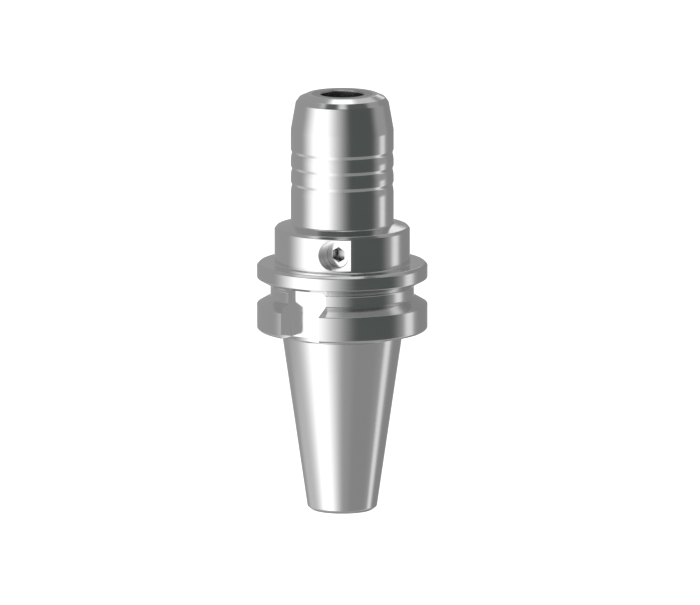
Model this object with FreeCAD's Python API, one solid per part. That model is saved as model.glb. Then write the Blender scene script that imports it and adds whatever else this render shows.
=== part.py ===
import FreeCAD, Part
import math
import os

from FreeCAD import Vector

# Hydraulic expansion tool holder on a 40-size 7:24 taper shank, for a 16 mm tool.
# Row frame in millimetres: the origin is on the spindle axis at the gauge line and +Z points to the nose.
# -Y is the side of the clamping screw and of one drive slot.

# Taper shank and pull-stud seat
GAUGE_DIAMETER = 44.45
TAPER_PER_LENGTH = 7 / 24
TAPER_LENGTH = 65.4
SHANK_END_CHAMFER = 1.2
NECK_STEP = 0.35
PILOT_DIAMETER = 17.0
PILOT_DEPTH = 7.0
STUD_THREAD_DIAMETER = 16.0
STUD_THREAD_LENGTH = 25.0
DRILL_POINT_ANGLE = 118.0
COOLANT_DIAMETER = 6.0
MOUTH_CHAMFER = 0.5

# Flange with its gripper groove and drive slots
FLANGE_GAP = 2.0
FLANGE_WIDTH = 25.0
FLANGE_DIAMETER = 63.0
FLANGE_BACK_CHAMFER = 0.8
FLANGE_FRONT_CHAMFER = 1.0
GROOVE_CENTRE = 16.6
GROOVE_RIM_WIDTH = 10.0
GROOVE_DEPTH = 5.0
GROOVE_FLANK_ANGLE = 30.0
SLOT_WIDTH = 16.1
SLOT_FLOOR = 22.6
SLOT_LENGTH = 18.5
SLOT_CORNER_RADIUS = 0.2

# Collar that carries the clamping screw
COLLAR_DIAMETER = 50.0
COLLAR_LENGTH = 12.6
COLLAR_FOOT = 0.8
COLLAR_CHAMFER = 0.8
COLLAR_CHAMFER_HEIGHT = 1.0
COLLAR_CONE_HEIGHT = 1.3

# Nose
GAUGE_LENGTH = 90.0
NOSE_DIAMETER = 38.0
NOSE_CYLINDER_LENGTH = 34.8
NOSE_TAPER_NARROWING = 1.8
TIP_BAND_HEIGHT = 1.8
TIP_BAND_NARROWING = 1.3
TIP_CHAMFER_HEIGHT = 1.3
TIP_CHAMFER_NARROWING = 2.9
RING_GROOVE_COUNT = 3
RING_GROOVE_PITCH = 6.0
RING_GROOVE_DEPTH = 0.45
RING_GROOVE_FLANK = 0.7
RING_GROOVE_LENGTH = 3.4
TOP_RING_GROOVE = 20.6

# Expansion sleeve, brazed into the nose, with two oil chambers behind its thin wall
TOOL_DIAMETER = 16.0
SLEEVE_WALL = 3.2
THIN_WALL = 1.7
BRAZE_GAP = 0.03
BORE_CHAMFER = 0.5
LOWER_LAND = 4.0
MIDDLE_LAND = 3.0
UPPER_LAND = 6.0
SEAT_WALL = 2.0

# Length stop screw in the centre hole
STOP_THREAD_DIAMETER = 8.0
STOP_THREAD_DEPTH = 22.0
STOP_SCREW_LENGTH = 14.0
STOP_SCREW_RECESS = 1.5
STOP_HEX = 4.0
STOP_HEX_DEPTH = 5.0
STOP_COOLANT_DIAMETER = 3.0

# Clamping screw, its pocket in the collar, and the pressure cylinder behind it
SCREW_DIAMETER = 10.0
SCREW_LENGTH = 6.0
SCREW_RECESS = 0.1
SCREW_HEX = 5.0
SCREW_HEX_DEPTH = 4.0
SCREW_CHAMFER = 0.2
SCREW_TRAVEL = 5.0
THREAD_WALL = 1.2
POCKET_MARGIN = 0.7
POCKET_LAND = 0.9
POCKET_FLAT = 5.3
THREAD_RUNOUT = 0.5
CYLINDER_DIAMETER = 8.0
RUNNING_CLEARANCE = 0.04
SEAL_LENGTH = 2.5
PISTON_WAIST = 0.6
PISTON_GUIDE = 2.5
SEAL_LIP = 0.8
OIL_GAP = 0.5
OIL_CHANNEL_DIAMETER = 2.0
OIL_CHANNEL_OFFSET = 0.16
OIL_CHANNEL_ANGLE = 26.0

# Bleed screw and its sealing ball, on the far end of the cylinder's axis
BLEED_SCREW_DIAMETER = 5.0
BLEED_SCREW_LENGTH = 5.0
BLEED_HEX = 2.5
BLEED_HEX_DEPTH = 2.2
BLEED_RECESS = 0.5
BLEED_BALL_DIAMETER = 2.5
SEATING_GAP = 0.02

# Levels and radii worked out from the sizes above
axis_up = Vector(0, 0, 1)
gauge_radius = GAUGE_DIAMETER / 2
shank_end = -TAPER_LENGTH
flange_back = FLANGE_GAP
flange_front = flange_back + FLANGE_WIDTH
flange_radius = FLANGE_DIAMETER / 2
collar_radius = COLLAR_DIAMETER / 2
collar_top = flange_front + COLLAR_LENGTH
nose_radius = NOSE_DIAMETER / 2
nose_start = collar_top + COLLAR_CHAMFER_HEIGHT + COLLAR_CONE_HEIGHT
nose_end = GAUGE_LENGTH

bore_radius = TOOL_DIAMETER / 2
seat_radius = bore_radius + SLEEVE_WALL
sleeve_radius = seat_radius - BRAZE_GAP
pocket_radius = SCREW_DIAMETER / 2 + POCKET_MARGIN
screw_x = STOP_THREAD_DIAMETER / 2 + THREAD_WALL + SCREW_DIAMETER / 2
screw_z = flange_front + POCKET_LAND + pocket_radius
pocket_floor = -math.sqrt(collar_radius**2 - (screw_x + POCKET_FLAT) ** 2)
seat_bottom = screw_z + CYLINDER_DIAMETER / 2 + SEAT_WALL

screw_head = pocket_floor + SCREW_RECESS
screw_tip = screw_head + SCREW_LENGTH
thread_bottom = screw_tip + SCREW_TRAVEL + THREAD_RUNOUT
channel_radius = OIL_CHANNEL_DIAMETER / 2
channel_circle = seat_radius + OIL_CHANNEL_OFFSET
channel_x = channel_circle * math.cos(math.radians(OIL_CHANNEL_ANGLE))
channel_y = channel_circle * math.sin(math.radians(OIL_CHANNEL_ANGLE))
seal_front = channel_y - channel_radius - OIL_GAP - SCREW_TRAVEL
seal_back = seal_front - SEAL_LENGTH
cylinder_end = channel_y + channel_radius + OIL_GAP

bleed_outer = math.sqrt(collar_radius**2 - (screw_x + BLEED_SCREW_DIAMETER / 2) ** 2) - BLEED_RECESS
bleed_inner = bleed_outer - BLEED_SCREW_LENGTH
ball_radius = BLEED_BALL_DIAMETER / 2
ball_y = bleed_inner - SEATING_GAP - ball_radius
bleed_bottom = ball_y - math.sqrt(ball_radius**2 - channel_radius**2) - SEATING_GAP

stop_top = seat_bottom - STOP_SCREW_RECESS
stop_bottom = stop_top - STOP_SCREW_LENGTH


def taper_radius(z):
    """Radius of the 7:24 taper at a height below the gauge line."""
    return gauge_radius + z * TAPER_PER_LENGTH / 2


def turned(corners):
    """Solid turned about the Z axis from (radius, height) corners."""
    points = [Vector(radius, 0, height) for radius, height in corners]
    outline = Part.makePolygon(points + points[:1])
    return Part.Face(outline).revolve(Vector(0, 0, 0), axis_up, 360)


def rod(radius, start, end, x=0.0, z=0.0, along="Z"):
    """Cylinder along Z from height start to end, or along Y at the given x and z."""
    if along == "Y":
        return Part.makeCylinder(radius, end - start, Vector(x, start, z), Vector(0, 1, 0))
    return Part.makeCylinder(radius, end - start, Vector(0, 0, start), axis_up)


def hex_prism(across_flats, depth, centre, direction, corner_towards):
    """Six-sided prism for a socket, its first corner pointing towards corner_towards."""
    corner_radius = across_flats / math.sqrt(3)
    first = corner_towards * corner_radius
    turn = [FreeCAD.Rotation(direction, 60 * i) for i in range(6)]
    ring = [centre + r.multVec(first) for r in turn]
    wire = Part.makePolygon(ring + ring[:1])
    return Part.Face(wire).extrude(direction * depth)


def set_screw(diameter, length, head, chamfer, hex_size, hex_depth):
    """Headless screw along +Y on the clamping screw's axis, with its socket open towards -Y at head."""
    radius = diameter / 2 - RUNNING_CLEARANCE
    blank = turned([
        (0, 0),
        (radius - chamfer, 0),
        (radius, chamfer),
        (radius, length - chamfer),
        (radius - chamfer, length),
        (0, length),
    ])
    socket = hex_prism(hex_size, hex_depth, Vector(0, 0, 0), axis_up, Vector(0, 1, 0))
    screw = blank.cut(socket)
    screw.rotate(Vector(0, 0, 0), Vector(1, 0, 0), -90)
    screw.translate(Vector(screw_x, head, screw_z))
    return screw


def holder_blank():
    """Shank, flange, collar and nose, turned from one bar."""
    groove_taper = GROOVE_DEPTH * math.tan(math.radians(GROOVE_FLANK_ANGLE))
    groove_low = GROOVE_CENTRE - GROOVE_RIM_WIDTH / 2
    groove_high = GROOVE_CENTRE + GROOVE_RIM_WIDTH / 2
    groove_radius = flange_radius - GROOVE_DEPTH
    neck_radius = gauge_radius - NECK_STEP
    shoulder_radius = collar_radius - COLLAR_CHAMFER
    taper_end_radius = nose_radius - NOSE_TAPER_NARROWING
    band_end_radius = taper_end_radius - TIP_BAND_NARROWING
    face_radius = band_end_radius - TIP_CHAMFER_NARROWING
    return turned([
        (0, shank_end),
        (taper_radius(shank_end) - SHANK_END_CHAMFER, shank_end),
        (taper_radius(shank_end + SHANK_END_CHAMFER), shank_end + SHANK_END_CHAMFER),
        (gauge_radius, 0),
        (neck_radius, NECK_STEP),
        (neck_radius, flange_back),
        (flange_radius - FLANGE_BACK_CHAMFER, flange_back),
        (flange_radius, flange_back + FLANGE_BACK_CHAMFER),
        (flange_radius, groove_low),
        (groove_radius, groove_low + groove_taper),
        (groove_radius, groove_high - groove_taper),
        (flange_radius, groove_high),
        (flange_radius, flange_front - FLANGE_FRONT_CHAMFER),
        (flange_radius - FLANGE_FRONT_CHAMFER, flange_front),
        (collar_radius + COLLAR_FOOT, flange_front),
        (collar_radius, flange_front + COLLAR_FOOT),
        (collar_radius, collar_top),
        (shoulder_radius, collar_top + COLLAR_CHAMFER_HEIGHT),
        (nose_radius, nose_start),
        (nose_radius, nose_start + NOSE_CYLINDER_LENGTH),
        (taper_end_radius, nose_end - TIP_BAND_HEIGHT - TIP_CHAMFER_HEIGHT),
        (band_end_radius, nose_end - TIP_CHAMFER_HEIGHT),
        (face_radius, nose_end),
        (0, nose_end),
    ])


def ring_groove(index):
    """One ring groove in the nose: a short steep flank at its top and a long one that runs out downwards."""
    top = nose_end - TOP_RING_GROOVE - index * RING_GROOVE_PITCH
    floor_radius = nose_radius - RING_GROOVE_DEPTH
    outside = nose_radius + RING_GROOVE_DEPTH
    return turned([
        (nose_radius, top - RING_GROOVE_LENGTH),
        (floor_radius, top - RING_GROOVE_FLANK),
        (nose_radius, top),
        (outside, top),
        (outside, top - RING_GROOVE_LENGTH),
    ])


def drive_slot(side):
    """Drive slot from the flange's back face into the groove's front flank, on the side -1 or +1 of Y."""
    reach = flange_radius * 2 - SLOT_FLOOR
    cutter = Part.makeBox(
        SLOT_WIDTH,
        reach,
        SLOT_LENGTH + FLANGE_GAP,
        Vector(-SLOT_WIDTH / 2, SLOT_FLOOR, flange_back - FLANGE_GAP),
    )
    floor_edges = [e for e in cutter.Edges if is_slot_corner(e)]
    cutter = cutter.makeFillet(SLOT_CORNER_RADIUS, floor_edges)
    if side < 0:
        cutter.rotate(Vector(0, 0, 0), axis_up, 180)
    return cutter


def is_slot_corner(edge):
    """True for the two long corners between the slot's floor and its walls."""
    ends = [v.Point for v in edge.Vertexes]
    at_floor = all(abs(p.y - SLOT_FLOOR) < 1e-6 for p in ends)
    return at_floor and abs(ends[0].z - ends[1].z) > SLOT_LENGTH / 2


def centre_bores():
    """Everything bored on the spindle axis: pilot, pull-stud thread, coolant way, stop thread, sleeve seat."""
    pilot_radius = PILOT_DIAMETER / 2
    stud_radius = STUD_THREAD_DIAMETER / 2
    coolant_radius = COOLANT_DIAMETER / 2
    stop_radius = STOP_THREAD_DIAMETER / 2
    pilot_top = shank_end + PILOT_DEPTH
    stud_top = pilot_top + STUD_THREAD_LENGTH
    point = math.tan(math.radians(DRILL_POINT_ANGLE / 2))
    stop_low = seat_bottom - STOP_THREAD_DEPTH
    return turned([
        (0, shank_end - MOUTH_CHAMFER),
        (pilot_radius + 2 * MOUTH_CHAMFER, shank_end - MOUTH_CHAMFER),
        (pilot_radius, shank_end + MOUTH_CHAMFER),
        (pilot_radius, pilot_top),
        (stud_radius, pilot_top),
        (stud_radius, stud_top),
        (coolant_radius, stud_top + (stud_radius - coolant_radius) / point),
        (coolant_radius, stop_low - (stop_radius - coolant_radius) / point),
        (stop_radius, stop_low),
        (stop_radius, seat_bottom),
        (seat_radius, seat_bottom),
        (seat_radius, nose_end + MOUTH_CHAMFER),
        (0, nose_end + MOUTH_CHAMFER),
    ])


def screw_pocket():
    """Milled pocket round the clamping screw: round at its inner end, running out of the collar at the other."""
    depth = collar_radius + pocket_floor
    round_end = rod(pocket_radius, -collar_radius - depth, pocket_floor, screw_x, screw_z, "Y")
    straight = Part.makeBox(
        collar_radius,
        collar_radius + depth + pocket_floor,
        2 * pocket_radius,
        Vector(screw_x, -collar_radius - depth, screw_z - pocket_radius),
    )
    return round_end.fuse(straight)


def hydraulic_bores():
    """Thread, pressure cylinder, oil channel and bleed passage, all on or off the clamping screw's axis."""
    mouth = rod(SCREW_DIAMETER / 2, pocket_floor - MOUTH_CHAMFER, thread_bottom, screw_x, screw_z, "Y")
    cylinder = rod(CYLINDER_DIAMETER / 2, screw_tip, cylinder_end, screw_x, screw_z, "Y")
    passage = rod(channel_radius, channel_y, bleed_bottom + SEATING_GAP, screw_x, screw_z, "Y")
    bleed_hole = rod(BLEED_SCREW_DIAMETER / 2, bleed_bottom, collar_radius, screw_x, screw_z, "Y")
    rise = seat_bottom + LOWER_LAND + channel_radius - screw_z
    channel = Part.makeCylinder(channel_radius, rise, Vector(channel_x, channel_y, screw_z), axis_up)
    return [mouth, cylinder, passage, bleed_hole, channel]


def holder_body():
    """The one-piece steel body with everything milled and bored into it."""
    body = holder_blank().cut(centre_bores())
    cutters = [ring_groove(i) for i in range(RING_GROOVE_COUNT)]
    cutters += [drive_slot(-1), drive_slot(1), screw_pocket()]
    cutters += hydraulic_bores()
    for cutter in cutters:
        body = body.cut(cutter)
    return body


def expansion_sleeve():
    """Thin-walled sleeve: three brazed lands with two oil chambers turned between them."""
    chamber_radius = bore_radius + THIN_WALL
    chamber_low = seat_bottom + LOWER_LAND
    chamber_high = nose_end - UPPER_LAND
    middle = (chamber_low + chamber_high) / 2
    sleeve = turned([
        (bore_radius, seat_bottom),
        (sleeve_radius, seat_bottom),
        (sleeve_radius, chamber_low),
        (chamber_radius, chamber_low),
        (chamber_radius, middle - MIDDLE_LAND / 2),
        (sleeve_radius, middle - MIDDLE_LAND / 2),
        (sleeve_radius, middle + MIDDLE_LAND / 2),
        (chamber_radius, middle + MIDDLE_LAND / 2),
        (chamber_radius, chamber_high),
        (sleeve_radius, chamber_high),
        (sleeve_radius, nose_end),
        (bore_radius + BORE_CHAMFER, nose_end),
        (bore_radius, nose_end - BORE_CHAMFER),
    ])
    link = Part.makeCylinder(
        channel_radius,
        MIDDLE_LAND * 2,
        Vector(channel_x, channel_y, middle - MIDDLE_LAND),
        axis_up,
    )
    return sleeve.cut(link)


def stop_screw():
    """Length stop screw: threaded plug with a socket above and a coolant hole through it."""
    radius = STOP_THREAD_DIAMETER / 2 - RUNNING_CLEARANCE
    blank = turned([
        (0, stop_bottom),
        (radius - MOUTH_CHAMFER, stop_bottom),
        (radius, stop_bottom + MOUTH_CHAMFER),
        (radius, stop_top - MOUTH_CHAMFER),
        (radius - MOUTH_CHAMFER, stop_top),
        (0, stop_top),
    ])
    socket_floor = Vector(0, 0, stop_top - STOP_HEX_DEPTH)
    socket = hex_prism(STOP_HEX, STOP_HEX_DEPTH, socket_floor, axis_up, Vector(0, 1, 0))
    coolant = rod(STOP_COOLANT_DIAMETER / 2, stop_bottom, stop_top)
    return blank.cut(socket).cut(coolant)


def pressure_piston():
    """Steel piston between the clamping screw and its seal, with a waist so that only its front end guides it."""
    radius = CYLINDER_DIAMETER / 2 - RUNNING_CLEARANCE
    length = seal_back - screw_tip
    piston = turned([
        (0, 0),
        (radius - PISTON_WAIST, 0),
        (radius - PISTON_WAIST, length - PISTON_GUIDE),
        (radius, length - PISTON_GUIDE),
        (radius, length),
        (0, length),
    ])
    piston.rotate(Vector(0, 0, 0), Vector(1, 0, 0), -90)
    piston.translate(Vector(screw_x, screw_tip, screw_z))
    return piston


def piston_seal():
    """Rubber cup seal on the oil side of the piston, hollow towards the oil."""
    radius = CYLINDER_DIAMETER / 2 - RUNNING_CLEARANCE
    seal = turned([
        (0, 0),
        (radius, 0),
        (radius, SEAL_LENGTH),
        (radius - SEAL_LIP, SEAL_LENGTH),
        (radius - SEAL_LIP, SEAL_LENGTH - SEAL_LIP),
        (0, SEAL_LENGTH - SEAL_LIP),
    ])
    seal.rotate(Vector(0, 0, 0), Vector(1, 0, 0), -90)
    seal.translate(Vector(screw_x, seal_back, screw_z))
    return seal


def clamping_screw():
    """Clamping screw with its hexagon socket towards the outside of the collar."""
    return set_screw(SCREW_DIAMETER, SCREW_LENGTH, screw_head, SCREW_CHAMFER, SCREW_HEX, SCREW_HEX_DEPTH)


def bleed_screw():
    """Bleed screw on the far side of the collar, its socket towards +Y."""
    screw = set_screw(
        BLEED_SCREW_DIAMETER,
        BLEED_SCREW_LENGTH,
        0,
        SCREW_CHAMFER,
        BLEED_HEX,
        BLEED_HEX_DEPTH,
    )
    screw.rotate(Vector(screw_x, 0, screw_z), axis_up, 180)
    screw.translate(Vector(0, bleed_outer, 0))
    return screw


def bleed_ball():
    """Hard ball that the bleed screw presses onto the mouth of the passage."""
    return Part.makeSphere(ball_radius, Vector(screw_x, ball_y, screw_z))


pieces = {
    "holder_body": holder_body,
    "expansion_sleeve": expansion_sleeve,
    "clamping_screw": clamping_screw,
    "pressure_piston": pressure_piston,
    "piston_seal": piston_seal,
    "stop_screw": stop_screw,
    "bleed_screw": bleed_screw,
    "bleed_ball": bleed_ball,
}

os.makedirs("parts", exist_ok=True)
for name, make in pieces.items():
    solid = make()
    solid.exportStep(f"parts/{name}.step")
    print(name, "solids", len(solid.Solids), "valid", solid.isValid(), "mm3", round(solid.Volume, 2))
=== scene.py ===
import math

import bmesh
import bpy
from mathutils import Matrix, Vector


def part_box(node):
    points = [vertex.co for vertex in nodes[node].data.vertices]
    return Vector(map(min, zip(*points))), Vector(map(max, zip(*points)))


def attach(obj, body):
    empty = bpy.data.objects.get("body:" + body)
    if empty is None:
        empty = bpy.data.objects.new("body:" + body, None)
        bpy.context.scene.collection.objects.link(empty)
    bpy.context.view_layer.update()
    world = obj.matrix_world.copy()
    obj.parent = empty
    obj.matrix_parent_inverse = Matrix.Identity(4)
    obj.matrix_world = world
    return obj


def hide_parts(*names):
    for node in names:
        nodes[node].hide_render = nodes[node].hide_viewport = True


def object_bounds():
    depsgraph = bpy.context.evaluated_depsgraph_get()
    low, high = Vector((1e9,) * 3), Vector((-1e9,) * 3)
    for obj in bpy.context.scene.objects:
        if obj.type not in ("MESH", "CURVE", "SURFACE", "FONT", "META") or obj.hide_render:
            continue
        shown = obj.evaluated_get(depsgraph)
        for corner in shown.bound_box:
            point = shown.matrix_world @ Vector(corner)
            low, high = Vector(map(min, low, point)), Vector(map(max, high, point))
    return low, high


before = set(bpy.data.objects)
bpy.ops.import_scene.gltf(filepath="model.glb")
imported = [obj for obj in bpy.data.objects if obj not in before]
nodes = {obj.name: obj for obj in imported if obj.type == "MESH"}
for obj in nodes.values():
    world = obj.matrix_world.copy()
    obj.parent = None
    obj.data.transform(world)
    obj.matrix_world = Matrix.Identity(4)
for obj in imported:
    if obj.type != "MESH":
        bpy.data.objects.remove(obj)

cad_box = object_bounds()
mm = 0.001

# Holder body
# One bar of case-hardened alloy steel, turned all over and then ground on its taper, flange and nose.
# Its outline runs up the outside, over the nose face and back down the bores, and is turned once round.
body_foot, body_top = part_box("holder_body")
sleeve_foot, sleeve_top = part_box("expansion_sleeve")
shank_end = body_foot.z / mm
nose_end = body_top.z / mm
flange_radius = body_top.x / mm
seat_bottom = sleeve_foot.z / mm
sleeve_radius = sleeve_top.x / mm
braze_gap = 0.03
seat_radius = sleeve_radius + braze_gap

gauge_radius = 22.225
taper_per_length = 7 / 24
shank_end_chamfer = 1.2
neck_relief = 0.35
flange_back = 2.0
flange_back_chamfer = 0.8
flange_front = 27.0
flange_front_chamfer = 1.0
groove_centre = 16.6
groove_rim = 5.0
groove_depth = 5.0
groove_slope = math.tan(math.radians(30))
collar_radius = 25.0
collar_foot = 0.3
collar_top = 39.6
collar_chamfer = 0.8
collar_chamfer_height = 1.0
nose_radius = 19.0
nose_start = 41.9
cone_length = 13.3
cone_depth = 1.8
brow_length = 3.1
brow_depth = 3.1
rim_length = 1.3
rim_depth = 6.0
ring_top = nose_end - 20.6
ring_pitch = 6.0
ring_depth = 0.42
ring_flank = 1.2
ring_length = 3.4
drill_slope = math.tan(math.radians(59))
stud_diameter = 16
stud_pitch = 2
stop_diameter = 8
stop_pitch = 1
pilot_radius = 8.5
pilot_depth = 7
pilot_chamfer = 0.5
stud_depth = 25
stud_mouth_radius = 8.1
stud_mouth_depth = 1.1
stop_depth = 22
stop_mouth = 0.7
pilot_top = shank_end + pilot_depth
stud_top = pilot_top + stud_depth
stop_low = seat_bottom - stop_depth
coolant_radius = 3.0
thread_depth = 0.5413


def taper_radius(height):
    """Radius of the 7:24 taper at a height below the gauge line, in millimetres."""
    return gauge_radius + height * taper_per_length / 2


def tapped(diameter, pitch):
    """Radius of the drilled hole that a thread of this size is cut into."""
    return diameter / 2 - thread_depth * pitch


def turned(corners, turns_to=192, closed=True):
    """An outline of (radius, height, rounding) corners in millimetres, turned once round the Z axis."""
    made = bmesh.new()
    points = [made.verts.new((radius * mm, 0, height * mm)) for radius, height, _ in corners]
    following = points[1:] + points[:1] if closed else points[1:]
    for start, end in zip(points, following):
        made.edges.new((start, end))
    for point, (_, _, rounding) in zip(points, corners):
        if rounding:
            bmesh.ops.bevel(
                made,
                geom=[point],
                offset=rounding * mm,
                offset_type="OFFSET",
                segments=4,
                profile=0.5,
                affect="VERTICES",
                material=-1,
                clamp_overlap=False,
            )
    bmesh.ops.spin(
        made,
        geom=made.verts[:] + made.edges[:],
        cent=(0, 0, 0),
        axis=(0, 0, 1),
        angle=2 * math.pi,
        steps=turns_to,
        use_merge=True,
    )
    bmesh.ops.remove_doubles(made, verts=made.verts, dist=1e-7)
    bmesh.ops.recalc_face_normals(made, faces=made.faces)
    return made


def piece(name, made, finish):
    """Puts a finished bmesh into the scene as an object at the origin, with a finish by its name."""
    mesh = bpy.data.meshes.new(name)
    made.to_mesh(mesh)
    made.free()
    mesh.materials.append(bpy.data.materials.get(finish) or bpy.data.materials.new(finish))
    thing = bpy.data.objects.new(name, mesh)
    bpy.context.scene.collection.objects.link(thing)
    return thing


def carve(thing, cutters, operation="DIFFERENCE"):
    """Cuts each cutter out of a piece, or keeps what lies in it; new faces keep the cutter's finish."""
    for cutter in cutters:
        cut = thing.modifiers.new(cutter.name, "BOOLEAN")
        cut.object = cutter
        cut.operation = operation
        cut.solver = "EXACT"
        cut.material_mode = "TRANSFER"
    graph = bpy.context.evaluated_depsgraph_get()
    mesh = bpy.data.meshes.new_from_object(thing.evaluated_get(graph))
    thing.modifiers.clear()
    thing.data = mesh
    for cutter in cutters:
        bpy.data.objects.remove(cutter)


def smooth(thing, angle=25):
    """Shades a piece smooth apart from its sharp edges, with the broad faces setting the normals."""
    thing.data.polygons.foreach_set("use_smooth", [True] * len(thing.data.polygons))
    thing.data.set_sharp_from_angle(angle=math.radians(angle))
    weighted = thing.modifiers.new("Broad faces first", "WEIGHTED_NORMAL")
    weighted.keep_sharp = True
    weighted.weight = 100


def ring_groove(top):
    """One ring groove in the nose: a short steep flank at its top and a long one that runs out below."""
    return [
        (nose_radius, top - ring_length, 0.9),
        (nose_radius - ring_depth, top - ring_flank, 0.25),
        (nose_radius, top, 0.1),
    ]


groove_run = groove_depth * groove_slope
rings = [corner for i in (2, 1, 0) for corner in ring_groove(ring_top - i * ring_pitch)]
outside = [
    (taper_radius(shank_end) - shank_end_chamfer, shank_end, 0.2),
    (taper_radius(shank_end + shank_end_chamfer), shank_end + shank_end_chamfer, 0.3),
    (gauge_radius, 0, 0.08),
    (gauge_radius - neck_relief, neck_relief, 0.1),
    (gauge_radius - neck_relief, flange_back, 0.3),
    (flange_radius - flange_back_chamfer, flange_back, 0.2),
    (flange_radius, flange_back + flange_back_chamfer, 0.2),
    (flange_radius, groove_centre - groove_rim, 0.25),
    (flange_radius - groove_depth, groove_centre - groove_rim + groove_run, 0.5),
    (flange_radius - groove_depth, groove_centre + groove_rim - groove_run, 0.5),
    (flange_radius, groove_centre + groove_rim, 0.25),
    (flange_radius, flange_front - flange_front_chamfer, 0.2),
    (flange_radius - flange_front_chamfer, flange_front, 0.2),
    (collar_radius + collar_foot, flange_front, 0.12),
    (collar_radius, flange_front + collar_foot, 0.12),
    (collar_radius, collar_top, 0.15),
    (collar_radius - collar_chamfer, collar_top + collar_chamfer_height, 0.15),
    (nose_radius, nose_start, 0.4),
]
tip = [
    (nose_radius, nose_end - cone_length, 0.6),
    (nose_radius - cone_depth, nose_end - brow_length, 0.12),
    (nose_radius - brow_depth, nose_end - rim_length, 0.12),
    (nose_radius - rim_depth, nose_end, 0.12),
    (seat_radius, nose_end, 0),
]
stop_hole = tapped(stop_diameter, stop_pitch)
stud_hole = tapped(stud_diameter, stud_pitch)
bores = [
    (seat_radius, seat_bottom, 0),
    (stop_hole + stop_mouth, seat_bottom, 0),
    (stop_hole, seat_bottom - stop_mouth, 0),
    (stop_hole, stop_low - (stop_diameter / 2 - stop_hole) / drill_slope, 0),
    (coolant_radius, stop_low - (stop_diameter / 2 - coolant_radius) / drill_slope, 0),
    (coolant_radius, stud_top + (stud_diameter / 2 - coolant_radius) / drill_slope, 0),
    (stud_hole, stud_top + (stud_diameter / 2 - stud_hole) / drill_slope, 0),
    (stud_hole, pilot_top + stud_mouth_depth, 0),
    (stud_mouth_radius, pilot_top, 0),
    (pilot_radius, pilot_top, 0),
    (pilot_radius, shank_end + pilot_chamfer, 0),
    (pilot_radius + pilot_chamfer, shank_end, 0),
]
body = piece("turned_holder", turned(outside + rings + tip + bores), "ground_steel")


# Drive slots
# Two keyways milled into the flange from its back face, through the groove and into the front rim.
# A square end mill cut them, so their floor is flat and their upper end stays square.
slot_width = 16.1
slot_floor = 22.6
slot_top = 20.5
slot_corner = 0.08
slot_start = 0.9
slot_reach = 20.0


def slot_cutter(name, side):
    """A box with rounded long corners at the slot's floor, on the side -1 or +1 of Y."""
    made = bmesh.new()
    bmesh.ops.create_cube(made, size=1)
    height = slot_top - slot_start
    bmesh.ops.scale(made, verts=made.verts, vec=Vector((slot_width, slot_reach, height)) * mm)
    middle = Vector((0, side * (slot_floor + slot_reach / 2), slot_top - height / 2)) * mm
    bmesh.ops.translate(made, verts=made.verts, vec=middle)
    floor = side * slot_floor * mm
    corners = [e for e in made.edges if all(abs(v.co.y - floor) < 1e-6 for v in e.verts)]
    corners = [e for e in corners if abs(e.verts[0].co.z - e.verts[1].co.z) > 1e-3]
    bmesh.ops.bevel(
        made,
        geom=corners,
        offset=slot_corner * mm,
        offset_type="OFFSET",
        segments=4,
        profile=0.5,
        affect="EDGES",
        material=-1,
    )
    return piece(name, made, "milled_steel")


# Screw pocket and the hydraulic bores behind it
# An end mill opens the collar square to the screw's axis, so the wall behind is a half round.
# Thread, pressure cylinder, passage and bleed hole lie on one line, and the oil channel rises from it.
screw_low, screw_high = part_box("clamping_screw")
screw_x = (screw_low.x + screw_high.x) / 2 / mm
screw_z = (screw_low.z + screw_high.z) / 2 / mm
screw_head = screw_low.y / mm
screw_length = screw_high.y / mm - screw_head
screw_recess = 0.1
pocket_floor = screw_head - screw_recess
pocket_radius = 5.7
pocket_depth = 20
pocket_reach = 25
screw_diameter = 10
screw_pitch = 1
bleed_diameter = 5
bleed_pitch = 0.8
bleed_low, bleed_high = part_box("bleed_screw")
ball_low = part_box("bleed_ball")[0]
bleed_head = bleed_high.y / mm
thread_length = 11.5
thread_bottom = screw_head + thread_length
cylinder_radius = 4.0
cylinder_end = 6.48
bleed_mouth_radius = 2.7
collar_outside = 26
channel_radius = 1.0
channel_place = Vector((10.21, 4.98, 0))
ball_seat_rise = 0.48
bleed_bottom = ball_low.y / mm + ball_seat_rise
bleed_mouth_low = bleed_head - 0.2
bleed_mouth_high = bleed_head + 0.4
bore_start = pocket_floor - 0.3


def along_y(made, x, z):
    """Turns a shape made along Z so that it lies along Y, on the line at x and z in millimetres."""
    quarter = Matrix.Rotation(math.radians(-90), 3, "X")
    bmesh.ops.rotate(made, verts=made.verts, cent=(0, 0, 0), matrix=quarter)
    bmesh.ops.translate(made, verts=made.verts, vec=Vector((x, 0, z)) * mm)
    return made


def pocket_cutter():
    """A disc of the pocket's radius whose right half is drawn out past the collar."""
    made = bmesh.new()
    bmesh.ops.create_circle(made, cap_ends=True, segments=128, radius=pocket_radius * mm)
    rim = bmesh.ops.extrude_face_region(made, geom=made.faces[:])
    lifted = [v for v in rim["geom"] if isinstance(v, bmesh.types.BMVert)]
    bmesh.ops.translate(made, verts=lifted, vec=(0, 0, -pocket_depth * mm))
    right = [v for v in made.verts if v.co.x > 1e-5]
    bmesh.ops.translate(made, verts=right, vec=(pocket_reach * mm, 0, 0))
    bmesh.ops.translate(made, verts=made.verts, vec=(0, 0, pocket_floor * mm))
    bmesh.ops.recalc_face_normals(made, faces=made.faces)
    return piece("pocket_cutter", along_y(made, screw_x, screw_z), "milled_steel")


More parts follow.
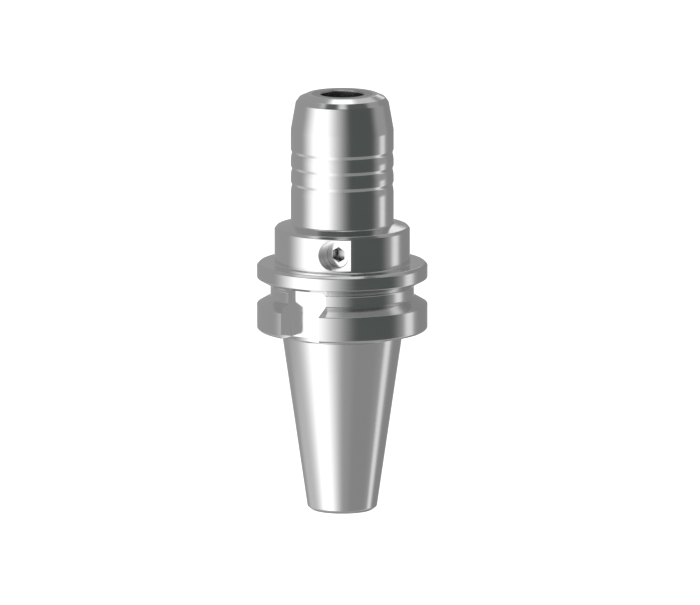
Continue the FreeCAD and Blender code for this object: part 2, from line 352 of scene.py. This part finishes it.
def plain_rod(name, radius, low, high, place, finish):
    """A rod along Z between two heights in millimetres, standing at a place."""
    corners = [(0, low, 0), (radius, low, 0), (radius, high, 0), (0, high, 0)]
    made = turned(corners, turns_to=64, closed=False)
    bmesh.ops.translate(made, verts=made.verts, vec=place * mm)
    return piece(name, made, finish)


screw_hole = tapped(screw_diameter, screw_pitch)
bleed_hole = tapped(bleed_diameter, bleed_pitch)
line_of_bores = [
    (0, bore_start, 0),
    (screw_hole, bore_start, 0),
    (screw_hole, thread_bottom, 0),
    (cylinder_radius, thread_bottom, 0),
    (cylinder_radius, cylinder_end, 0),
    (channel_radius, cylinder_end, 0),
    (channel_radius, bleed_bottom, 0),
    (bleed_hole, bleed_bottom, 0),
    (bleed_hole, bleed_mouth_low, 0),
    (bleed_mouth_radius, bleed_mouth_high, 0),
    (bleed_mouth_radius, collar_outside, 0),
    (0, collar_outside, 0),
]
bore_mesh = along_y(turned(line_of_bores, turns_to=96, closed=False), screw_x, screw_z)


# Threads
# Right-handed metric threads: M16 for the pull stud, M8 x 1 for the length stop, M10 x 1 and M5 for the
# hydraulic line. A hole and its screw are swept from the same start, so their turns lie in each other.
flank_slope = math.tan(math.radians(30))
screw_root_depth = 0.6134
hole_root_depth = 0.58
thread_steps = 40


def threaded_rod(diameter, pitch, start, turns, slack=0.0):
    """A rod with its thread swept up the Z axis; slack is a screw's clearance at crests and flanks."""
    share = screw_root_depth if slack else hole_root_depth
    root = diameter / 2 - share * pitch
    crest = diameter / 2 - slack

    def half_width(radius):
        return pitch / 16 + (diameter / 2 - radius) * flank_slope - 0.75 * slack

    ridge = [
        (root, 0),
        (root, pitch / 2 - half_width(root)),
        (crest, pitch / 2 - half_width(crest)),
        (crest, pitch / 2 + half_width(crest)),
        (root, pitch / 2 + half_width(root)),
        (root, pitch),
    ]
    made = bmesh.new()
    points = [made.verts.new((radius * mm, 0, (start + rise) * mm)) for radius, rise in ridge]
    for low, high in zip(points, points[1:]):
        made.edges.new((low, high))
    bmesh.ops.spin(
        made,
        geom=made.verts[:] + made.edges[:],
        cent=(0, 0, 0),
        axis=(0, 0, 1),
        dvec=(0, 0, pitch * mm / thread_steps),
        angle=2 * math.pi * turns,
        steps=thread_steps * turns,
    )
    bmesh.ops.remove_doubles(made, verts=made.verts, dist=1e-7)
    for height, side in ((start + pitch * 1.03, -1), (start + pitch * (turns - 0.03), 1)):
        cut = bmesh.ops.bisect_plane(
            made,
            geom=made.verts[:] + made.edges[:] + made.faces[:],
            plane_co=(0, 0, height * mm),
            plane_no=(0, 0, side),
            clear_outer=True,
        )
        rim = [e for e in cut["geom_cut"] if isinstance(e, bmesh.types.BMEdge)]
        bmesh.ops.edgeloop_fill(made, edges=rim)
    bmesh.ops.recalc_face_normals(made, faces=made.faces)
    return made


bleed_foot = bleed_low.y / mm
stud_start = pilot_top - 3.3
stop_start = stop_low - 1
screw_start = screw_head - 3
bleed_start = bleed_foot - 4.0
stud_tap = threaded_rod(stud_diameter, stud_pitch, stud_start, turns=14)
stop_tap = threaded_rod(stop_diameter, stop_pitch, stop_start, turns=25)
screw_tap = along_y(threaded_rod(screw_diameter, screw_pitch, screw_start, turns=15), screw_x, screw_z)
bleed_tap = along_y(threaded_rod(bleed_diameter, bleed_pitch, bleed_start, turns=13), screw_x, screw_z)
carve(
    body,
    [
        slot_cutter("slot_front", -1),
        slot_cutter("slot_back", 1),
        pocket_cutter(),
        piece("bores", bore_mesh, "drilled_steel"),
        plain_rod("channel", channel_radius, screw_z, seat_bottom + 5, channel_place, "drilled_steel"),
        piece("stud_tap", stud_tap, "drilled_steel"),
        piece("stop_tap", stop_tap, "drilled_steel"),
        piece("screw_tap", screw_tap, "drilled_steel"),
        piece("bleed_tap", bleed_tap, "drilled_steel"),
    ],
)
smooth(body)
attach(body, "holder")
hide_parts("holder_body")


# Expansion sleeve
# A thin steel lining brazed into the nose, honed inside, with two oil chambers turned into its back.
# Only its mouth shows, a ring in the nose face with a small chamfer.
bore_radius = 8.0
bore_chamfer = 0.5
sleeve_foot_chamfer = 0.3
thin_wall = 1.7
half_land = 1.5
half_link = 3
chamber_radius = bore_radius + thin_wall
solid_foot = 4
solid_head = 6
chamber_low = seat_bottom + solid_foot
chamber_high = nose_end - solid_head
land_middle = (chamber_low + chamber_high) / 2
# The lining's finish is a darker grey that paints the shade inside the bore.
sleeve = piece(
    "honed_sleeve",
    turned(
        [
            (bore_radius, seat_bottom + sleeve_foot_chamfer, 0),
            (bore_radius + sleeve_foot_chamfer, seat_bottom, 0),
            (sleeve_radius, seat_bottom, 0),
            (sleeve_radius, chamber_low, 0.1),
            (chamber_radius, chamber_low, 0.2),
            (chamber_radius, land_middle - half_land, 0.2),
            (sleeve_radius, land_middle - half_land, 0.1),
            (sleeve_radius, land_middle + half_land, 0.1),
            (chamber_radius, land_middle + half_land, 0.2),
            (chamber_radius, chamber_high, 0.2),
            (sleeve_radius, chamber_high, 0.1),
            (sleeve_radius, nose_end, 0),
            (bore_radius + bore_chamfer, nose_end, 0.08),
            (bore_radius, nose_end - bore_chamfer, 0.15),
        ]
    ),
    "bore_steel",
)
link_ends = (land_middle - half_link, land_middle + half_link)
carve(sleeve, [plain_rod("link", channel_radius, *link_ends, channel_place, "bore_steel")])
smooth(sleeve)
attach(sleeve, "holder")
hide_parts("expansion_sleeve")


# Clamping screw
# A headless M10 x 1 screw with a 5 mm hexagon socket, its flat end towards the pocket.
# The socket was pressed in by a broach, which leaves its walls dull and a drilled cone at the bottom.
screw_slack = 0.04


def hex_socket(across_flats, mouth, floor):
    """A hexagon cutter from just outside a screw's end to the floor of its socket."""
    made = bmesh.new()
    bmesh.ops.create_circle(made, cap_ends=True, segments=6, radius=across_flats / math.sqrt(3) * mm)
    outside_mouth = mouth + math.copysign(0.5, mouth - floor)
    bmesh.ops.translate(made, verts=made.verts, vec=(0, 0, outside_mouth * mm))
    deeper = bmesh.ops.extrude_face_region(made, geom=made.faces[:])
    lifted = [v for v in deeper["geom"] if isinstance(v, bmesh.types.BMVert)]
    bmesh.ops.translate(made, verts=lifted, vec=(0, 0, (floor - outside_mouth) * mm))
    bmesh.ops.recalc_face_normals(made, faces=made.faces)
    return piece("socket", made, "socket_steel")


def drill_cone(radius, mouth, floor):
    """The drilled hole with a pointed bottom that the socket was broached along."""
    point = floor - math.copysign(radius / drill_slope, mouth - floor)
    corners = [(0, mouth, 0), (radius, mouth, 0), (radius, floor, 0), (0, point, 0)]
    made = turned(corners, turns_to=48, closed=False)
    return piece("drill", made, "socket_steel")


def threaded_screw(name, diameter, pitch, low, high, start, cutters, bevel=0.1):
    """A headless screw between two heights, its thread swept from start and its sockets cut out."""
    wide = diameter / 2 + 0.3
    end_radius = diameter / 2 - screw_slack - bevel
    blank = turned(
        [
            (0, low, 0),
            (end_radius, low, 0),
            (wide, low + wide - end_radius, 0),
            (wide, high - wide + end_radius, 0),
            (end_radius, high, 0),
            (0, high, 0),
        ],
        turns_to=96,
        closed=False,
    )
    turns = math.ceil((high - start) / pitch) + 2
    screw = piece(name, blank, "screw_steel")
    thread = threaded_rod(diameter, pitch, start, turns, screw_slack)
    carve(screw, [piece("thread", thread, "screw_steel")], "INTERSECT")
    carve(screw, cutters)
    return screw


def lay_along_y(thing):
    """Turns a finished screw onto the clamping screw's line."""
    place = Matrix.Translation(Vector((screw_x, 0, screw_z)) * mm)
    thing.data.transform(place @ Matrix.Rotation(math.radians(-90), 4, "X"))
    thing.data.update()


clamping_screw = threaded_screw(
    "socket_screw",
    screw_diameter,
    screw_pitch,
    low=screw_head,
    high=screw_head + screw_length,
    start=screw_start,
    cutters=[
        hex_socket(across_flats=5, mouth=screw_head, floor=screw_head + 4),
        drill_cone(radius=2.45, mouth=screw_head + 3, floor=screw_head + 4.1),
    ],
)
lay_along_y(clamping_screw)
smooth(clamping_screw)
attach(clamping_screw, "clamping_screw")
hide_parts("clamping_screw")


# Bleed screw
# A small M5 screw that closes the filling hole on the far side of the collar, its 2.5 mm socket outwards.
bleed_screw = threaded_screw(
    "filling_screw",
    bleed_diameter,
    bleed_pitch,
    low=bleed_foot,
    high=bleed_head,
    start=bleed_start,
    cutters=[
        hex_socket(across_flats=2.5, mouth=bleed_head, floor=bleed_head - 2.2),
        drill_cone(radius=1.2, mouth=bleed_head - 2, floor=bleed_head - 2.3),
    ],
)
lay_along_y(bleed_screw)
smooth(bleed_screw)
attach(bleed_screw, "holder")
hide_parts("bleed_screw")


# Length stop screw
# An M8 x 1 screw in the centre hole below the bore, with a 4 mm socket.
# A coolant hole runs right through it.
stop_foot, stop_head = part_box("stop_screw")
stop_end = stop_foot.z / mm
stop_top = stop_head.z / mm
coolant_hole = 1.5
stop_screw = threaded_screw(
    "stop_plug",
    stop_diameter,
    stop_pitch,
    low=stop_end,
    high=stop_top,
    start=stop_start,
    cutters=[
        hex_socket(across_flats=4, mouth=stop_top, floor=stop_top - 5),
        plain_rod("coolant", coolant_hole, stop_end - 1, stop_top + 1, Vector(), "socket_steel"),
    ],
    bevel=0.5,
)
smooth(stop_screw)
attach(stop_screw, "stop_screw")
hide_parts("stop_screw")


# Steel finishes
# All steels are neutral grey mirrors. How each face was cut sets its gloss and the run of its marks.
def linear(hex_colour):
    """An sRGB hex colour as linear values with alpha."""
    parts = [int(hex_colour[i:i + 2], 16) / 255 for i in (1, 3, 5)]
    return tuple(c / 12.92 if c <= 0.04045 else ((c + 0.055) / 1.055) ** 2.4 for c in parts) + (1.0,)


def add(tree, kind, settings=(), links=()):
    """Adds a node, sets its properties and sockets, and joins its inputs to other nodes' outputs."""
    node = tree.nodes.new(kind)
    for key, value in dict(settings).items():
        if key in node.inputs:
            node.inputs[key].default_value = value
        else:
            setattr(node, key, value)
    for key, output in dict(links).items():
        tree.links.new(output, node.inputs[key])
    return node


def finish_of(name):
    """A material by its name, with an empty node tree."""
    material = bpy.data.materials.get(name) or bpy.data.materials.new(name)
    material.use_nodes = True
    material.node_tree.nodes.clear()
    return material, material.node_tree


def cut_steel(name, colour, roughness, marks_per_m, depth_mm, spread=0.04):
    """Steel with fine marks, stretched along the directions in which marks_per_m is small."""
    material, tree = finish_of(name)
    place = add(tree, "ShaderNodeTexCoord")
    stretch = add(tree, "ShaderNodeMapping", {"Scale": marks_per_m}, {"Vector": place.outputs["Object"]})
    noise = {"Scale": 1.0, "Detail": 3.0}
    marks = add(tree, "ShaderNodeTexNoise", noise, {"Vector": stretch.outputs["Vector"]})
    bump = add(
        tree,
        "ShaderNodeBump",
        {"Strength": 0.3, "Distance": depth_mm * mm},
        {"Height": marks.outputs["Fac"]},
    )
    gloss = add(
        tree,
        "ShaderNodeMapRange",
        {"From Min": 0.3, "From Max": 0.7, "To Min": roughness - spread, "To Max": roughness + spread},
        {"Value": marks.outputs["Fac"]},
    )
    steel = add(
        tree,
        "ShaderNodeBsdfPrincipled",
        {"Base Color": linear(colour), "Metallic": 1.0},
        {"Normal": bump.outputs["Normal"], "Roughness": gloss.outputs["Result"]},
    )
    add(tree, "ShaderNodeOutputMaterial", {}, {"Surface": steel.outputs["BSDF"]})
    return material


# Ground: bright, with faint rings round the axis that stretch each highlight up and down.
# The wheel's real rings are finer, and are drawn 0.3 mm apart to show.
cut_steel("ground_steel", "#E8E8E8", roughness=0.15, marks_per_m=(8, 8, 3300), depth_mm=0.003)
# Milled: as bright, with faint arcs of the cutter across the slot floors and the pocket.
slot_marks = (900, 40, 900)
cut_steel("milled_steel", "#E8E8E8", roughness=0.12, marks_per_m=slot_marks, depth_mm=0.002, spread=0.03)
# Drilled and tapped: duller and darker, with rings round the hole.
cut_steel("drilled_steel", "#8A8A88", roughness=0.35, marks_per_m=(300, 300, 2500), depth_mm=0.01)
# Honed, with fine crossed marks. Its grey is darker than the body's to paint the shade inside the bore.
bore_marks = (1400, 1400, 2600)
cut_steel("bore_steel", "#BCBCBC", roughness=0.25, marks_per_m=bore_marks, depth_mm=0.0015, spread=0.02)
# Turned screws: slightly darker than the body, with rings along Y round the clamping screw's line.
screw_marks = (60, 2500, 60)
screw_steel = cut_steel("screw_steel", "#E0E0E0", 0.12, screw_marks, depth_mm=0.002, spread=0.03)
# Broached sockets: darker and duller than the turned end round them.
cut_steel("socket_steel", "#C8C8C6", roughness=0.22, marks_per_m=(1500, 300, 1500), depth_mm=0.006)
# The ball of bearing steel is lapped, the smoothest and brightest piece.
ball_marks = (700, 700, 700)
ball_steel = cut_steel("ball_steel", "#E4E4E6", 0.06, ball_marks, depth_mm=0.0005, spread=0.02)

# Seal rubber
# Black nitrile rubber, matt, with the fine grain of its mould.
seal_rubber, tree = finish_of("seal_rubber")
place = add(tree, "ShaderNodeTexCoord")
noise = {"Scale": 2500.0, "Detail": 2.0}
grain = add(tree, "ShaderNodeTexNoise", noise, {"Vector": place.outputs["Object"]})
relief = {"Strength": 0.4, "Distance": 0.02 * mm}
bump = add(tree, "ShaderNodeBump", relief, {"Height": grain.outputs["Fac"]})
rubber = add(
    tree,
    "ShaderNodeBsdfPrincipled",
    {"Base Color": linear("#1C1C1C"), "Roughness": 0.6},
    {"Normal": bump.outputs["Normal"]},
)
add(tree, "ShaderNodeOutputMaterial", {}, {"Surface": rubber.outputs["BSDF"]})

# The piston, its seal and the ball keep their solids' shapes
kept_finishes = {"pressure_piston": screw_steel, "piston_seal": seal_rubber, "bleed_ball": ball_steel}
for name, material in kept_finishes.items():
    nodes[name].material_slots[0].material = material


# Stage
# A white floor just under the shank. It glows for the camera, so it is seen pure white, and it takes
# the holder's shadow. The steel doesn't mirror it.
floor_drop = 0.05
floor_half = 12
floor_height = cad_box[0].z - floor_drop * mm
floor_mesh = bmesh.new()
bmesh.ops.create_grid(floor_mesh, x_segments=1, y_segments=1, size=floor_half)
bmesh.ops.translate(floor_mesh, verts=floor_mesh.verts, vec=(0, 0, floor_height))
floor = piece("floor", floor_mesh, "white_floor")
tree = finish_of("white_floor")[1]
ray = add(tree, "ShaderNodeLightPath")
matt = add(tree, "ShaderNodeBsdfDiffuse", {"Color": linear("#E6E6E6")})
glow = add(tree, "ShaderNodeEmission", {"Color": (1, 1, 1, 1)}, {"Strength": ray.outputs["Is Camera Ray"]})
both = add(tree, "ShaderNodeAddShader")
tree.links.new(matt.outputs["BSDF"], both.inputs[0])
tree.links.new(glow.outputs["Emission"], both.inputs[1])
add(tree, "ShaderNodeOutputMaterial", {}, {"Surface": both.outputs["Shader"]})
floor.visible_glossy = False


# Reflection cards
# Curved cards stand round the holder, and only its steel sees them. A broad white one is front left, a dark
# one front right with a white strip beyond it, and a dark hood with a lamp hangs above the front. Low grey
# ones serve the shank, and small white ones stand behind and overhead.
camera_azimuth = 31.0


def only_mirrored(thing):
    """Hides a card from the camera and from soft light, so that it shows only in the steel."""
    thing.visible_camera = False
    thing.visible_diffuse = False
    thing.visible_shadow = False


def card(name, middle, width, low, high, level, fade=15, rise=0.1, distance=0.6, tint="#FFFFFF"):
    """A piece of a cylinder: azimuth from the camera in degrees, heights in metres, soft edges."""
    made = bmesh.new()
    steps = 24
    rod = [made.verts.new((0, -distance, low + (high - low) * i / steps)) for i in range(steps + 1)]
    bars = [made.edges.new(pair) for pair in zip(rod, rod[1:])]
    start = Matrix.Rotation(math.radians(camera_azimuth + middle - width / 2), 3, "Z")
    bmesh.ops.rotate(made, verts=rod, cent=(0, 0, 0), matrix=start)
    arc = math.radians(width)
    bmesh.ops.spin(made, geom=rod + bars, cent=(0, 0, 0), axis=(0, 0, 1), angle=arc, steps=48)
    share = made.verts.layers.float.new("share")
    for vert in made.verts:
        turn = math.degrees(math.atan2(vert.co.x, -vert.co.y)) - camera_azimuth - middle
        turn = (turn + 180) % 360 - 180
        across = min(1, max(0, width / 2 - abs(turn)) / fade)
        upward = min(1, (vert.co.z - low) / rise, (high - vert.co.z) / rise)
        vert[share] = across * max(0, upward)
    thing = piece(name, made, name)
    tree = finish_of(name)[1]
    cover = add(tree, "ShaderNodeAttribute", {"attribute_name": "share"})
    easing = {"interpolation_type": "SMOOTHSTEP"}
    soft = add(tree, "ShaderNodeMapRange", easing, {"Value": cover.outputs["Fac"]})
    light = add(tree, "ShaderNodeEmission", {"Color": linear(tint), "Strength": level})
    clear = add(tree, "ShaderNodeBsdfTransparent")
    mixed = add(tree, "ShaderNodeMixShader", {}, {"Fac": soft.outputs["Result"]})
    tree.links.new(clear.outputs["BSDF"], mixed.inputs[1])
    tree.links.new(light.outputs["Emission"], mixed.inputs[2])
    add(tree, "ShaderNodeOutputMaterial", {}, {"Surface": mixed.outputs["Shader"]})
    only_mirrored(thing)


card("white_card", middle=-49, width=112, low=-1.4, high=0.32, level=1.5, fade=54, rise=0.12)
card("dark_card", middle=44, width=98, low=-0.27, high=0.9, level=0.095, fade=26, rise=0.14, tint="#F4FFFC")
card(
    "white_strip", middle=101, width=28, low=-1.2, high=0.03, level=0.83,
    fade=11, rise=0.05, distance=0.59,
)
card("shank_card", middle=-112, width=84, low=-1.1, high=-0.16, level=0.58, fade=30, distance=0.61)
card("shank_grey", middle=50, width=86, low=-1.1, high=-0.2, level=0.28, fade=24, distance=0.61)
card("dark_hood", middle=12, width=160, low=0.36, high=1.95, level=0.11, distance=0.62, tint="#F4FFFC")
card("hood_lamp", middle=0, width=50, low=0.9, high=1.4, level=0.85, fade=20, distance=0.58)
card("left_lamp", middle=-86, width=60, low=0.75, high=2.3, level=0.8, fade=14, rise=0.2, distance=0.61)
card(
    "shoulder_card", middle=170, width=15, low=0.17, high=0.42, level=1.0,
    fade=5, rise=0.07, distance=0.58,
)
card("right_card", middle=146, width=70, low=-1.2, high=0.6, level=0.27, distance=0.64)
card("back_card", middle=180, width=44, low=-0.8, high=0.0, level=0.6, distance=0.63)
card("overhead_card", middle=180, width=34, low=0.75, high=1.4, level=1.6, fade=8)
card("overhead_grey", middle=155, width=40, low=0.45, high=1.1, level=0.62, fade=8, distance=0.61)

top_radius = 0.72
top_height = 2.2
top_mesh = bmesh.new()
bmesh.ops.create_circle(top_mesh, cap_ends=True, segments=64, radius=top_radius)
bmesh.ops.translate(top_mesh, verts=top_mesh.verts, vec=(0, 0, top_height))
top_card = piece("top_card", top_mesh, "top_card")
tree = finish_of("top_card")[1]
light = add(tree, "ShaderNodeEmission", {"Color": (1, 1, 1, 1), "Strength": 0.75})
add(tree, "ShaderNodeOutputMaterial", {}, {"Surface": light.outputs["Emission"]})
only_mirrored(top_card)

# The room is grey for the steel, and white for the camera.
room_level = 0.345
world = bpy.data.worlds.new("studio")
bpy.context.scene.world = world
world.use_nodes = True
tree = world.node_tree
tree.nodes.clear()
ray = add(tree, "ShaderNodeLightPath")
room = add(tree, "ShaderNodeBackground", {"Color": (1, 1, 1, 1), "Strength": room_level})
white = add(tree, "ShaderNodeBackground", {"Color": (1, 1, 1, 1), "Strength": 1.0})
pick = add(tree, "ShaderNodeMixShader", {}, {"Fac": ray.outputs["Is Camera Ray"]})
tree.links.new(room.outputs["Background"], pick.inputs[1])
tree.links.new(white.outputs["Background"], pick.inputs[2])
add(tree, "ShaderNodeOutputWorld", {}, {"Surface": pick.outputs["Shader"]})


# Camera
# A very long lens eight metres away, ten degrees above the horizon.
camera_elevation = 10.2
camera_far = 8.011
aim_aside = 2.86
aim_height = 11.82
lens = bpy.data.cameras.new("camera")
lens.lens = 1116.6
lens.sensor_width = 36
lens.clip_start = 0.01
lens.clip_end = 100
camera = bpy.data.objects.new("camera", lens)
bpy.context.scene.collection.objects.link(camera)
bpy.context.scene.camera = camera
turn = math.radians(camera_azimuth)
rise = math.radians(camera_elevation)
back = Vector((math.sin(turn) * math.cos(rise), -math.cos(turn) * math.cos(rise), math.sin(rise)))
aside = Vector((math.cos(turn), math.sin(turn), 0)) * aim_aside * mm
aim = Vector((0, 0, aim_height * mm)) + aside
camera.location = aim + back * camera_far
camera.rotation_mode = "QUATERNION"
camera.rotation_quaternion = (-back).to_track_quat("-Z", "Y")
bpy.context.scene.view_settings.view_transform = "Standard"
